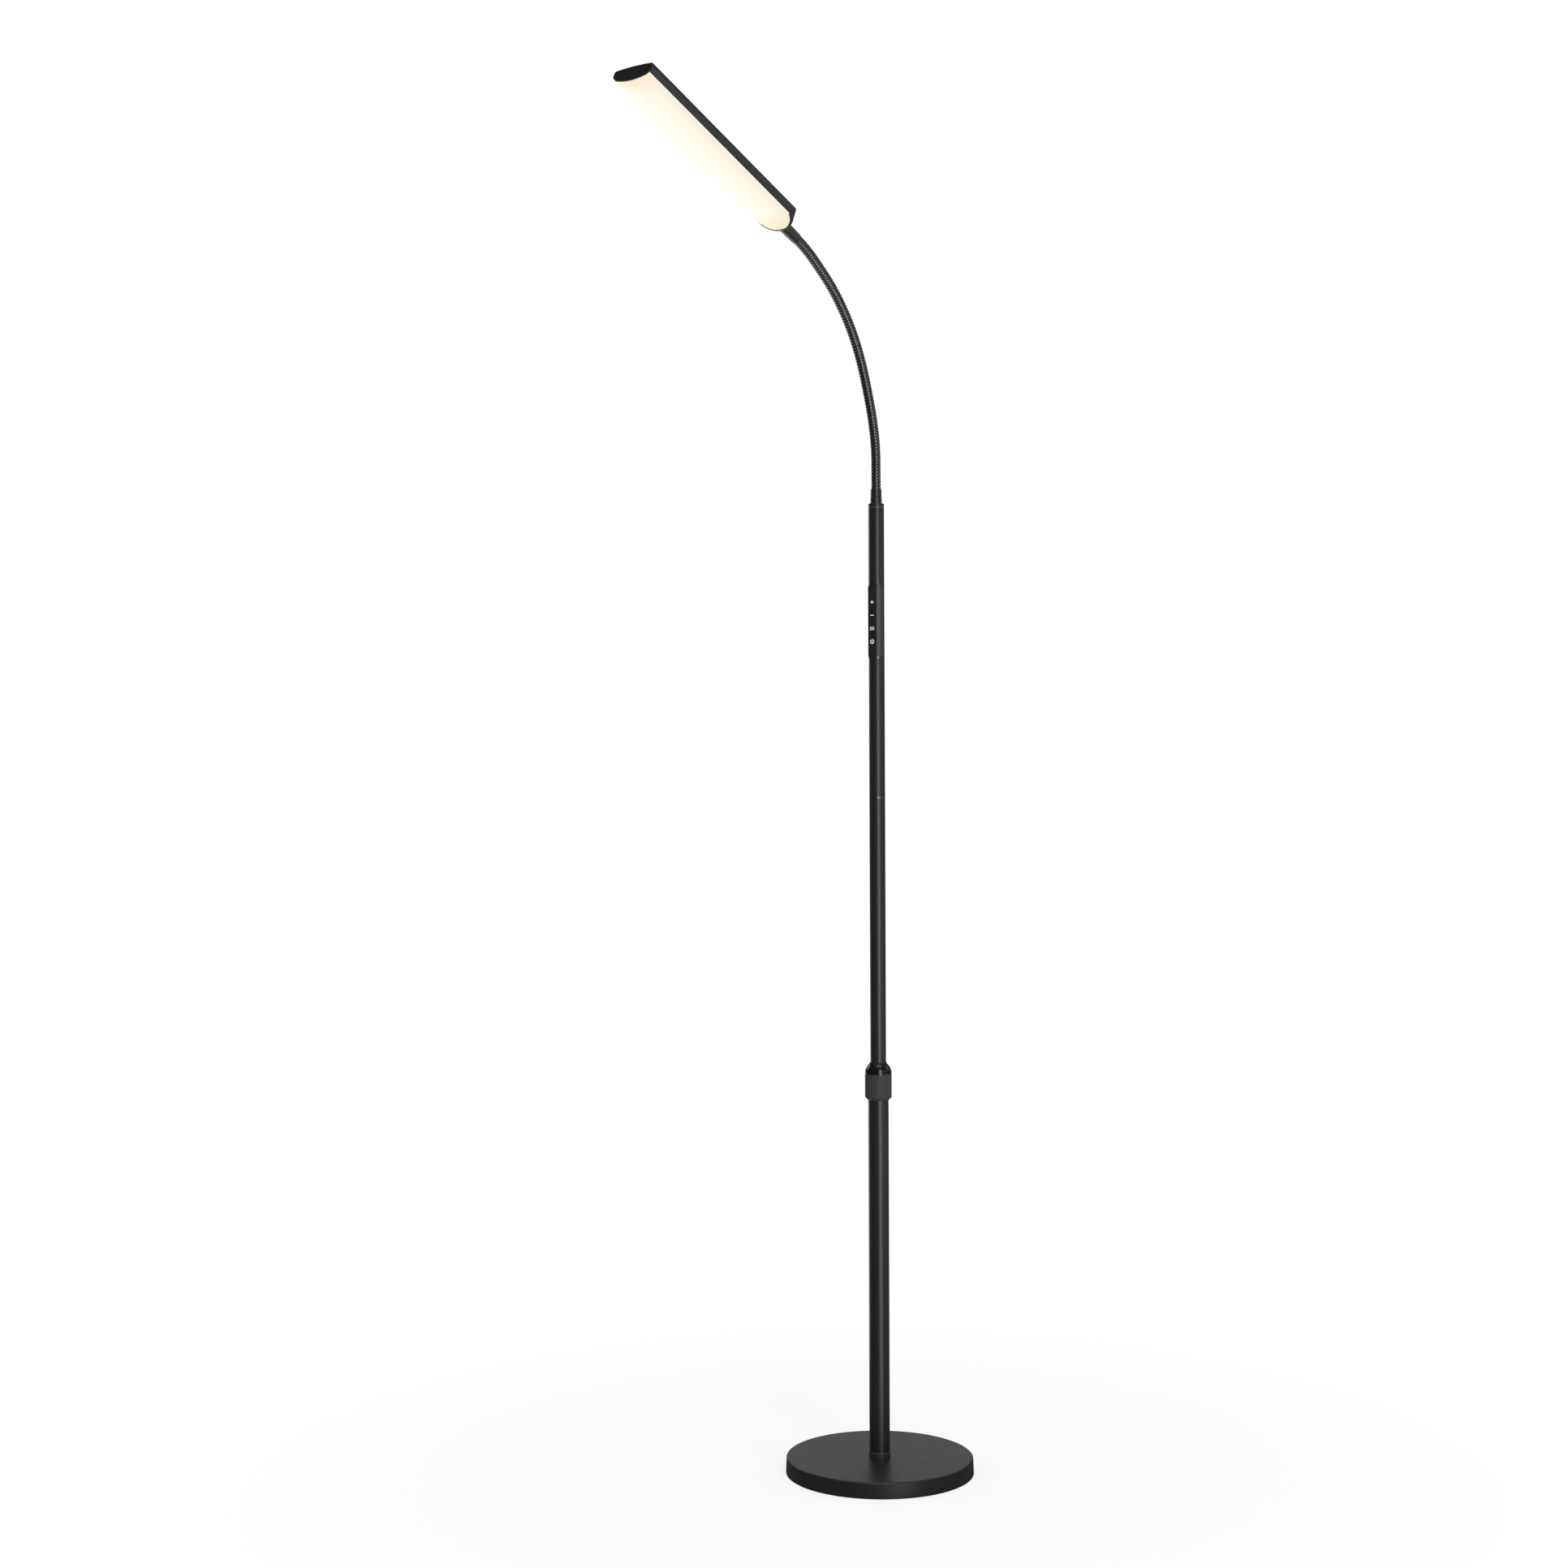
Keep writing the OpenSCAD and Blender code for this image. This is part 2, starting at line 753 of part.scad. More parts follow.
// Lower ferrule: a threaded stem through the cap, a foot and a sleeve round the gooseneck
module neck_ferrule() {
    stem_foot = control_top - cap_depth - 8;
    foot_r = lower_ferrule_d / 2;
    top_r = lower_ferrule_top_d / 2;
    edge = 0.6;
    color("#2b2b2e")
        rotate_extrude()
            polygon([[neck_bore_r, stem_foot], [stem_r, stem_foot], [stem_r, cap_top],
                [foot_r, cap_top], [foot_r, cap_top + 6.5], [top_r, cap_top + 9],
                [top_r, neck_foot - edge], [top_r - edge, neck_foot],
                [core_r + seat_gap, neck_foot], [core_r + seat_gap, neck_foot - neck_socket],
                [neck_bore_r, neck_foot - neck_socket]]);
}

// Gooseneck

// Puts its children at the start of a part of the gooseneck, with +Z along it
module at_neck(i) {
    translate([0, neck_y(i), neck_z(i)])
        rotate([lean(i), 0, 0])
            children();
}

// A stretch of round bar bent about the bend axis of a part, from one length to another
module bent_bar(i, r, from, to) {
    R = bend_radius(i);
    degree = bend(i) / part_len;
    translate([0, -R, 0])
        rotate([90, 0, 90])
            rotate([0, 0, from * degree])
                rotate_extrude(angle = (to - from) * degree, $fn = 360)
                    translate([R, 0])
                        circle(r, $fn = 48);
}

// The ball face at the top of a part, and with a gap the seat at the foot of the next
module ball(gap) {
    translate([0, 0, -ball_r])
        sphere(ball_r + gap, $fn = 96);
}

// One tenth of the gooseneck: a bent tube with its ribs, seated on the ball face below it
module neck_part(i) {
    is_first = i == 0;
    is_last = i == part_count - 1;
    rib_w = rib_pitch * rib_share;
    skirt = 2.4;
    rib_start = -0.45;
    color("#242427")
        at_neck(i)
            difference() {
                union() {
                    bent_bar(i, core_r, 0, part_len);
                    if (is_first)
                        translate([0, 0, -neck_socket])
                            cylinder(r = core_r, h = neck_socket);
                    else
                        translate([0, 0, -skirt])
                            cylinder(r = rib_r, h = skirt);
                    bent_bar(i, rib_r, is_first ? 0.5 : 0, rib_start + rib_w / 2);
                    for (k = [1 : ribs_per_part - 1])
                        bent_bar(i, rib_r, rib_start + k * rib_pitch - rib_w / 2,
                            rib_start + k * rib_pitch + rib_w / 2);
                    if (is_last)
                        bent_end(i) {
                            cylinder(r = core_r, h = neck_socket);
                            translate([0, 0, -end_step])
                                cylinder(r = rib_r, h = end_step);
                        }
                }
                bent_bar(i, neck_bore_r, 0, part_len);
                translate([0, 0, -neck_socket - past])
                    cylinder(r = end_bore_r, h = neck_socket + past + end_step);
                if (!is_first)
                    ball(ball_gap);
                if (is_last)
                    bent_end(i)
                        translate([0, 0, -end_step])
                            cylinder(r = end_bore_r, h = neck_socket + past + end_step);
                else
                    bent_end(i)
                        difference() {
                            translate([0, 0, -4])
                                cylinder(r = neck_d, h = 4 + past);
                            ball(0);
                        }
            }
}

// Puts its children at the end of a part, inside the frame of its start
module bent_end(i) {
    R = bend_radius(i);
    translate([0, R * cos(bend(i)) - R, R * sin(bend(i))])
        rotate([bend(i), 0, 0])
            children();
}

module neck_part_0() { neck_part(0); }
module neck_part_1() { neck_part(1); }
module neck_part_2() { neck_part(2); }
module neck_part_3() { neck_part(3); }
module neck_part_4() { neck_part(4); }
module neck_part_5() { neck_part(5); }
module neck_part_6() { neck_part(6); }
module neck_part_7() { neck_part(7); }
module neck_part_8() { neck_part(8); }
module neck_part_9() { neck_part(9); }

// Head

// Puts its children at the foot of the head
module at_head() {
    at_neck(part_count)
        translate([0, 0, head_ferrule_len])
            children();
}

module head_ferrule() {
    L = head_ferrule_len;
    foot_r = head_ferrule_d / 2;
    top_r = head_ferrule_top_d / 2;
    color("#2b2b2e")
        at_neck(part_count)
            rotate_extrude()
                polygon([[core_r + seat_gap, 0], [foot_r - 0.2, 0], [foot_r + 0.2, 1.5],
                    [top_r, L - 4], [top_r, L], [nipple_r, L], [nipple_r, L + nipple_len],
                    [nipple_bore_r, L + nipple_len], [nipple_bore_r, neck_socket],
                    [core_r + seat_gap, neck_socket]]);
}

// Outline of the head seen from its front: a round end with its two corners, straight sides and a
// square far end, with the round end, the sides and the far end drawn in
module head_plan(whole_side, whole_r, round_in, sides_in, far_in) {
    side = whole_side - sides_in;
    r = whole_r - round_in;
    corner = near_corner_r - round_in;
    far = head_len - far_in;
    far_r = far_corner_r;
    x = side - corner;
    middle = sqrt(whole_r * whole_r - seat_half * seat_half);
    z = middle - sqrt((r - corner) * (r - corner) - x * x);
    reach = 3 * r / (r - corner);
    intersection() {
        union() {
            intersection() {
                translate([0, middle])
                    circle(r, $fn = 180);
                polygon([[-x, z], [-x * (1 + reach), z - reach * (middle - z)],
                    [x * (1 + reach), z - reach * (middle - z)], [x, z]]);
            }
            for (flip = [-1, 1])
                translate([flip * x, z])
                    circle(corner);
            translate([-side, z])
                square([2 * side, far - far_r - z]);
            translate([-side + far_r, z])
                square([2 * (side - far_r), far - z]);
            for (flip = [-1, 1])
                translate([flip * (side - far_r), far - far_r])
                    circle(far_r);
        }
        translate([-head_w, round_in])
            square([2 * head_w, head_len]);
    }
}

// The opening for the diffuser: it runs out through both long sides
module opening_plan(round_in, far_in) {
    r = head_round_r - round_in;
    from = round_z - rim_run + round_in - near_rim;
    intersection() {
        translate([0, round_z])
            circle(r, $fn = 180);
        translate([-head_w, round_in])
            square([2 * head_w, round_z - round_in]);
    }
    translate([-back_w / 2, from])
        square([back_w, head_len - far_in - from]);
}

// A cap of the section: the part of a crown beyond its two edge circles, which lie at x and y
module crown_cap(crown_y, r, x, y) {
    steep = 30 / norm([x, y - crown_y]);
    rise = (y - crown_y) * steep;
    intersection() {
        translate([0, crown_y])
            circle(r, $fn = 720);
        polygon([[-x, y], [-x - x * steep, y + rise], [x + x * steep, y + rise], [x, y]]);
    }
}

// Cross section of the head, drawn in all round: crowned on the back and the front, with round
// long edges that run into the crowns
module head_section(in) {
    x = head_side - front_edge_r;
    crown_y = front_crown_r - head_front;
    y = crown_y - sqrt(pow(front_crown_r - front_edge_r, 2) - x * x);
    crown_cap(crown_y, front_crown_r - in, x, y);
    for (flip = [-1, 1])
        translate([flip * x, y])
            circle(front_edge_r - in);
}

// Cross section of the housing: the front edges, the flanks that widen to the back and the crown
module housing_section() {
    x = back_w / 2 - back_edge_r;
    crown_y = head_back - back_crown_r;
    y = crown_y + sqrt(pow(back_crown_r - back_edge_r, 2) - x * x);
    front_x = head_side - front_edge_r;
    front_y = front_crown_r - head_front - sqrt(pow(front_crown_r - front_edge_r, 2) - front_x * front_x);
    away = norm([x - front_x, y - front_y]);
    across = (y - front_y) / away;
    down = (x - front_x) / away;
    head_section(0);
    crown_cap(crown_y, back_crown_r, x, y);
    polygon([[-x, y], [-x - back_edge_r * across, y - back_edge_r * down],
        [-front_x - front_edge_r * across, front_y - front_edge_r * down], [-front_x, front_y],
        [front_x, front_y], [front_x + front_edge_r * across, front_y - front_edge_r * down],
        [x + back_edge_r * across, y - back_edge_r * down], [x, y]]);
    for (flip = [-1, 1])
        translate([flip * x, y])
            circle(back_edge_r);
}

// Makes a plan outline of the head solid between two depths
module plan_block(low, high) {
    translate([0, high, 0])
        rotate([90, 0, 0])
            linear_extrude(high - low)
                children();
}

module head_housing() {
    color("#28282b")
        at_head()
            difference() {
                intersection() {
                    linear_extrude(head_len)
                        housing_section();
                    plan_block(-head_depth, head_depth)
                        head_plan(back_w / 2, back_round_r, 0, 0, 0);
                }
                plan_block(-head_depth, -head_split)
                    opening_plan(near_rim, end_rim);
                plan_block(-head_split - past, ceiling_y)
                    head_plan(head_side, head_round_r, near_wall, side_in, head_wall);
                translate([0, 0, -past])
                    cylinder(r = nipple_r + 0.1, h = 2 * past + near_wall);
                for (z = led_screw_zs)
                    translate([0, 0, z])
                        along_y(led_screw_r + seat_gap, ceiling_y - past, ceiling_y + led_screw_depth + 0.1);
            }
}

module head_nut() {
    foot = near_wall + 0.2;
    color("#8a8a90")
        at_head()
            difference() {
                translate([0, 0, foot])
                    cylinder(r = head_nut_flats / 2 / cos(30), h = head_nut_h, $fn = 6);
                translate([0, 0, foot - past])
                    cylinder(r = nipple_r + seat_gap, h = head_nut_h + 2 * past);
            }
}

module led_board() {
    color("#d9d9d2")
        at_head()
            difference() {
                block([-led_board_w / 2, led_board_front, led_near_gap],
                    [led_board_w / 2, ceiling_y, led_near_gap + led_board_len]);
                for (z = led_screw_zs)
                    translate([0, 0, z])
                        along_y(led_screw_r + seat_gap, led_board_front - past, ceiling_y + past);
            }
}

module led_chips() {
    pitch = (led_board_len - 2 * chip_margin) / (chip_count - 1);
    row_x = led_board_w / 4;
    color("#f2d98a")
        at_head()
            for (k = [0 : chip_count - 1], x = [-row_x, row_x])
                translate([x, led_board_front - chip_t / 2, led_near_gap + chip_margin + k * pitch])
                    cube([chip_w, chip_t, chip_len], center = true);
}

module led_screws() {
    head_r = 2.2;
    screw_head_h = 1.3;
    color("#a9a9ad")
        at_head()
            for (z = led_screw_zs)
                translate([0, 0, z]) {
                    along_y(head_r, led_board_front - screw_head_h, led_board_front);
                    along_y(led_screw_r, led_board_front - screw_head_h / 2, ceiling_y + led_screw_depth);
                }
}

// The socket on the light board that takes the two wires
module led_plug() {
    foot = led_near_gap + 1;
    color("#e4e2d8")
        at_head()
            difference() {
                block([-plug_w / 2, led_board_front - plug_h, foot],
                    [plug_w / 2, led_board_front, foot + plug_block_len]);
                for (side = [-1, 1])
                    translate([side * wire_x, wire_y, foot - past])
                        cylinder(r = wire_r + seat_gap, h = plug_block_len - past);
            }
}

module led_wires() {
    from = neck_socket - head_ferrule_len;
    to = led_near_gap + plug_block_len - past;
    color("#7d1f1c")
        at_head()
            for (side = [-1, 1])
                translate([side * wire_x, wire_y, from])
                    cylinder(r = wire_r, h = to - from);
}

// A curved shell between the rims, on the front edges of the housing
module diffuser() {
    fit = 0.1;
    color("#fff1cf")
        at_head()
            difference() {
                intersection() {
                    linear_extrude(head_len)
                        head_section(fit);
                    plan_block(-head_depth, -head_split - fit)
                        opening_plan(near_rim + fit, end_rim + fit);
                }
                translate([0, 0, -past])
                    linear_extrude(head_len + 2 * past)
                        head_section(fit + diffuser_t);
            }
}

base_cover();
base_weight();
base_pad();
base_bolt();
base_washer();
pole_plug();
pole_foot();
lower_tube();
clamp_collet();
clamp_collar();
guide_bush();
extension_tube();
tube_joiner();
control_tube();
control_cover();
control_board();
board_screws();
button_switches();
remote_receiver();
board_parts();
power_socket();
lamp_wires();
button_plus();
button_minus();
button_mode();
button_power();
tube_cap();
neck_nut();
neck_ferrule();
neck_part_0();
neck_part_1();
neck_part_2();
neck_part_3();
neck_part_4();
neck_part_5();
neck_part_6();
neck_part_7();
neck_part_8();
neck_part_9();
head_ferrule();
head_nut();
head_housing();
led_board();
led_chips();
led_screws();
led_plug();
led_wires();
diffuser();
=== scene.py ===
"""The floor lamp as it looks: its finishes, its wound gooseneck, the lit diffuser and the symbols.

Everything is in metres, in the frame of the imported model: the origin on the floor under the pole,
+Z up, the front of the lamp towards -Y.
"""

import math

import bmesh
import bpy
from mathutils import Matrix, Vector


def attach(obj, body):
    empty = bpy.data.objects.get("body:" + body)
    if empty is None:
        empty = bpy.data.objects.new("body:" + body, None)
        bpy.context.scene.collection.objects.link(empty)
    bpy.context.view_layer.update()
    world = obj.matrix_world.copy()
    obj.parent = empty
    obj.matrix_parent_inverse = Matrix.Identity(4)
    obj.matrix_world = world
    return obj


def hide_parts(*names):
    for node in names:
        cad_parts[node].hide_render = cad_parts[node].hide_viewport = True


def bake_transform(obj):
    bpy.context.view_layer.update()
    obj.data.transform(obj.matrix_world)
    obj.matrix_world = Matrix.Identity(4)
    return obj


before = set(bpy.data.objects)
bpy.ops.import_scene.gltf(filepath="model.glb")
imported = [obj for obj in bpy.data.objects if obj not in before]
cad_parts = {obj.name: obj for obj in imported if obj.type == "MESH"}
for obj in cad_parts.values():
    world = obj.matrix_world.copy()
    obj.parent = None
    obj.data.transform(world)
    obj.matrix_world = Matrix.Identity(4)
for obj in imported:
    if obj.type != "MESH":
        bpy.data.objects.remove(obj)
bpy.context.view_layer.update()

MM = 0.001

# Camera: the picture is 1932 pixels wide and tall
IMAGE_SIDE = 1932
FOCAL_PIXELS = 2928
SENSOR = 36
CAMERA_AT = Vector((1.6961, -2.3551, 0.840))
CAMERA_AZIMUTH = math.radians(38.006)
CAMERA_ROLL = math.radians(0.222)

# Room: how bright it is in the gloss of the lamp, and how bright its soft fill is
ROOM_GLOSS = 0.035
ROOM_FILL = 0.62

# Floor: how white it is to the camera at the base, and how far the shadow reaches
FLOOR_HALF_SIDE = 7
FLOOR_WHITE = 0.8
FLOOR_SHADOW_REACH = 0.9
FLOOR_GLOSS = 0.10
# Bright patches of it that only gloss shows: azimuth and half width in degrees, strength, and the
# distances from the pole at which the patch starts and is full
FLOOR_GLINTS = (
    (59, 11, 5.5, 0.2, 0.3),
    (216, 70, 0.45, 0.18, 0.45),
    (108, 30, 1.1, 0.9, 1.3),
    (250, 24, 1.6, 0.4, 0.9))

# Gooseneck: the line that it follows, as one share of the whole turn for each tenth
NECK_FOOT = Vector((0, 0, 1199.5 * MM))
NECK_LENGTH = 337.5 * MM
NECK_TURN = math.radians(66.5)
NECK_SHARES = (0.8, 15.3, 9.9, 4.2, 10.1, 13.4, 11.2, 13.0, 5.6, 16.5)
NECK_SOCKET = 11.8 * MM
BALL_RADIUS = 9 * MM
WIRE_RADIUS = 5.85 * MM
CORE_RADIUS = 5.4 * MM
BORE_RADIUS = 3.4 * MM
TURNS_PER_PART = 9
WIRE_SHARE = 0.74
RINGS_PER_TURN = 10
NECK_SIDES = 40
BENDS = len(NECK_SHARES) - 1

# Head: its own frame starts where the ferrule meets it, with the third axis along it
HEAD_FERRULE = 29 * MM
HEAD_LENGTH = 286 * MM
LIT_HALF_WIDTH = 24.6 * MM
LIT_START = 6 * MM
LIT_SIDE_FADE = 12 * MM
LIT_END_FADE = 30 * MM

# Light of the diffuser: along its middle, at its sides, at its ends and on the line at its edge
LIT_MIDDLE = (0.88, 0.84, 0.735)
LIT_SIDE = (0.81, 0.76, 0.615)
LIT_END = (0.86, 0.735, 0.525)
LIT_LINE = (0.84, 0.83, 0.79)

# Control panel
BUTTON_HEIGHTS = {"plus": 1061 * MM, "minus": 1045 * MM, "mode": 1029 * MM, "power": 1013 * MM}
BUTTON_FACE = -9.3 * MM
SYMBOL_DEPTH = 0.08 * MM
STROKE = 1.25 * MM
SOCKET_HEIGHT = 1003.5 * MM
SOCKET_BORE = 3.15 * MM
SOCKET_MOUTH = 9.4 * MM

# Pole
COLLAR_SHOULDER = 486.3 * MM
COLLAR_GREY = (0.029, 0.029, 0.030)
FOOT_RING_TOP = 26 * MM
FOOT_RING_GREY = (0.02, 0.02, 0.021)
CAP_RING_TOP = 1177.4 * MM


# The line of the gooseneck

PART = NECK_LENGTH / len(NECK_SHARES)


def neck_frame(along):
    """The point of the middle line of the gooseneck at a length along it, and its lean."""
    point = NECK_FOOT.copy()
    lean = 0.0
    if along < 0:
        return point + Vector((0, 0, along)), lean
    for share in NECK_SHARES:
        step = min(along, PART)
        turn = NECK_TURN * share / sum(NECK_SHARES) * step / PART
        chord = step * math.sin(turn / 2) / (turn / 2) if turn else step
        point += chord * Vector((0, -math.sin(lean + turn / 2), math.cos(lean + turn / 2)))
        lean += turn
        along -= step
    return point + along * Vector((0, -math.sin(lean), math.cos(lean))), lean


# Camera, floor and light

def make_camera():
    """A level camera in front of the lamp and to its right, at the view of the picture."""
    ahead = Vector((-math.sin(CAMERA_AZIMUTH), math.cos(CAMERA_AZIMUTH), 0))
    level = Vector((math.cos(CAMERA_AZIMUTH), math.sin(CAMERA_AZIMUTH), 0))
    up = Vector((0, 0, 1))
    turned_up = up * math.cos(CAMERA_ROLL) + level * math.sin(CAMERA_ROLL)
    turned_right = level * math.cos(CAMERA_ROLL) - up * math.sin(CAMERA_ROLL)
    data = bpy.data.cameras.new("camera")
    data.sensor_width = SENSOR
    data.lens = SENSOR * FOCAL_PIXELS / IMAGE_SIDE
    data.clip_start = 0.05
    data.clip_end = 60
    camera = bpy.data.objects.new("camera", data)
    bpy.context.scene.collection.objects.link(camera)
    turn = Matrix((turned_right, turned_up, -ahead)).transposed().to_4x4()
    camera.matrix_world = Matrix.Translation(CAMERA_AT) @ turn
    bpy.context.scene.camera = camera


class Value:
    """An output of a node, so that a sum or a product of numbers reads as plain maths."""

    def __init__(self, nodes, socket):
        self.nodes = nodes
        self.socket = socket

    def maths(self, operation, first, second):
        return self.nodes.node("ShaderNodeMath", {"operation": operation}, {0: first, 1: second})

    def __add__(self, other):
        return self.maths("ADD", self, other)

    __radd__ = __add__

    def __sub__(self, other):
        return self.maths("SUBTRACT", self, other)

    def __rsub__(self, other):
        return self.maths("SUBTRACT", other, self)

    def __mul__(self, other):
        return self.maths("MULTIPLY", self, other)

    __rmul__ = __mul__

    def __truediv__(self, other):
        return self.maths("DIVIDE", self, other)

    def __gt__(self, other):
        return self.maths("GREATER_THAN", self, other)

    def __lt__(self, other):
        return self.maths("LESS_THAN", self, other)

    def __abs__(self):
        return self.maths("ABSOLUTE", self, 0)

    def wave(self):
        return self.maths("SINE", self, 0)

    def root(self):
        return self.maths("SQRT", self, 0)


class Nodes:
    """A node tree to which nodes are added by name."""

    def __init__(self, tree):
        self.tree = tree

    def fill(self, socket, value):
        if isinstance(value, Value):
            self.tree.links.new(value.socket, socket)
        elif socket.type == "RGBA":
            socket.default_value = (*value, 1)
        else:
            socket.default_value = value

    def node(self, kind, settings, inputs, output=0):
        """Adds a node, sets it up, fills its sockets and gives one of its outputs."""
        made = self.tree.nodes.new(kind)
        for name, value in settings.items():
            setattr(made, name, value)
        for name, value in inputs.items():
            self.fill(made.inputs[name], value)
        return Value(self, made.outputs[output])

    def ray(self, kind):
        return self.node("ShaderNodeLightPath", {}, {}, f"Is {kind} Ray")

    def place(self):
        return self.node("ShaderNodeTexCoord", {}, {}, "Object")

    def axes(self, place=None):
        """The three coordinates of a place on the object, or of a turned one."""
        place = place or self.place()
        return [self.node("ShaderNodeSeparateXYZ", {}, {"Vector": place}, name) for name in "XYZ"]

    def noise(self, size, detail=2.0, rough=0.5):
        """Soft noise from 0 to 1 whose blotches are about size metres wide."""
        return self.node("ShaderNodeTexNoise", {}, {"Vector": self.place(), "Scale": 1 / size,
            "Detail": detail, "Roughness": rough})

    def span(self, value, low, high, at_low=0.0, at_high=1.0):
        """Runs smoothly from at_low to at_high while a value runs from low to high."""
        return self.node("ShaderNodeMapRange", {"interpolation_type": "SMOOTHSTEP"}, {
            "Value": value, "From Min": low, "From Max": high, "To Min": at_low,
            "To Max": at_high})

    def either(self, first, second):
        """The larger of two values."""
        return first.maths("MAXIMUM", first, second)

    def mix(self, share, first, second):
        """A colour between two, by share."""
        return self.node("ShaderNodeMix", {"data_type": "RGBA"}, {0: share, 6: first, 7: second}, 2)


class Finish(Nodes):
    """A material of one surface shader, with its constants set straight on the shader."""

    def __init__(self, name, color, roughness, **constants):
        self.material = bpy.data.materials.new(name)
        self.material.use_nodes = True
        super().__init__(self.material.node_tree)
        self.surface = self.tree.nodes["Principled BSDF"]
        self.set("Base Color", color)
        self.set("Roughness", roughness)
        for socket, value in constants.items():
            self.set(socket.replace("_", " "), value)

    def set(self, name, value):
        self.fill(self.surface.inputs[name], value)

    def bump(self, height, depth):
        """Raises the surface by height, from 0 to 1, times depth in metres."""
        self.set("Normal", self.node("ShaderNodeBump", {}, {"Height": height, "Distance": depth,
            "Strength": 1.0}))


def make_world():
    """White behind the lamp, a dim room in its gloss and an even, soft fill."""
    world = bpy.data.worlds.new("studio")
    bpy.context.scene.world = world
    world.use_nodes = True
    nodes = Nodes(world.node_tree)
    background = world.node_tree.nodes["Background"]
    white = nodes.ray("Camera") + nodes.ray("Transmission")
    room = nodes.ray("Glossy") * ROOM_GLOSS
    fill = ROOM_FILL * (1 - white - nodes.ray("Glossy"))
    nodes.fill(background.inputs["Color"], (1, 1, 1))
    nodes.fill(background.inputs["Strength"], white + room + fill)


def make_floor():
    """A pale floor that is white to the camera, apart from the shadow that the lamp casts on it."""
    shape = bmesh.new()
    bmesh.ops.create_grid(shape, x_segments=8, y_segments=8, size=FLOOR_HALF_SIDE)
    mesh = bpy.data.meshes.new("floor")
    shape.to_mesh(mesh)
    shape.free()
    floor = bpy.data.objects.new("floor", mesh)
    bpy.context.scene.collection.objects.link(floor)
    material = bpy.data.materials.new("pale_floor")
    material.use_nodes = True
    nodes = Nodes(material.node_tree)
    surface = material.node_tree.nodes["Principled BSDF"]
    nodes.fill(surface.inputs["Base Color"], (0.8, 0.8, 0.8))
    nodes.fill(surface.inputs["Roughness"], 0.9)
    nodes.fill(surface.inputs["Specular IOR Level"], 0)
    lit = nodes.node("ShaderNodeEmission", {}, {"Color": (1, 1, 1), "Strength": 1.0})
    x, y, z = nodes.axes()
    away = (x * x + y * y).root()
    gloss = FLOOR_GLOSS
    for azimuth, width, strength, start, full in FLOOR_GLINTS:
        turn = math.radians(azimuth)
        ahead = (x * math.sin(turn) - y * math.cos(turn)) / away
        glint = nodes.span(ahead, math.cos(math.radians(width)), 1)
        gloss = glint * nodes.span(away, start, full) * strength + gloss
    dark = nodes.node("ShaderNodeEmission", {}, {"Color": (1, 1, 1), "Strength": gloss})
    plain = Value(nodes, surface.outputs[0])
    white = nodes.span(away, FLOOR_SHADOW_REACH / 3, FLOOR_SHADOW_REACH, FLOOR_WHITE, 1)
    seen = nodes.node("ShaderNodeMixShader", {}, {0: nodes.ray("Camera") * white, 1: plain, 2: lit})
    shiny = nodes.node("ShaderNodeMixShader", {}, {0: nodes.ray("Glossy"), 1: seen, 2: dark})
    output = material.node_tree.nodes["Material Output"]
    nodes.fill(output.inputs["Surface"], shiny)
    floor.data.materials.append(material)


def make_light(name, azimuth, distance, height, wide, tall, power, aim):
    """A soft box round the lamp: azimuth turns it from the front towards the right."""
    turn = math.radians(azimuth)
    at = Vector((distance * math.sin(turn), -distance * math.cos(turn), height))
    data = bpy.data.lights.new(name, "AREA")
    data.shape = "RECTANGLE"
    data.size = wide
    data.size_y = tall
    data.energy = power
    light = bpy.data.objects.new(name, data)
    bpy.context.scene.collection.objects.link(light)
    facing = (Vector(aim) - at).to_track_quat("-Z", "Y")
    light.matrix_world = Matrix.Translation(at) @ facing.to_matrix().to_4x4()
    light.visible_camera = False


def light_the_studio():
    """A strip for the long highlight of the pole, and large dim boxes round the lamp."""
    make_light("side_strip", azimuth=56, distance=2.2, height=0.95, wide=0.42, tall=2.3, power=24,
        aim=(0, 0, 0.9))
    make_light("rear_box", azimuth=216, distance=3.2, height=1.1, wide=2.0, tall=0.7, power=4.7,
        aim=(0, 0, 0.1))
    make_light("right_box", azimuth=148, distance=3.0, height=2.1, wide=1.5, tall=1.6, power=9,
        aim=(0, 0, 0.9))
    make_light("left_box", azimuth=264, distance=3.0, height=1.7, wide=1.2, tall=1.2, power=12,
        aim=(0, 0, 0.5))
    make_light("panel_card", azimuth=98, distance=2.2, height=1.19, wide=1.2, tall=0.3, power=1.9,
        aim=(0, 0, 1.04))
    make_light("overhead", azimuth=60, distance=0.4, height=3.2, wide=1.6, tall=1.6, power=22,
        aim=(0, 0, 0.6))


# Finishes

def powder_coat(name, color=(0.011, 0.011, 0.012), roughness=0.40, specular=0.5):
    """Baked black powder coat: a fine orange peel under a satin sheen."""
    finish = Finish(name, color, roughness, Specular_IOR_Level=specular)
    peel = finish.noise(0.9 * MM, 2)
    tone = finish.noise(35 * MM, 3)
    finish.set("Base Color", finish.mix(tone, [0.94 * c for c in color], [1.06 * c for c in color]))
    finish.set("Roughness", finish.span(tone, 0.2, 0.8, roughness - 0.01, roughness + 0.01))
    finish.bump(peel, 0.02 * MM)
    return finish


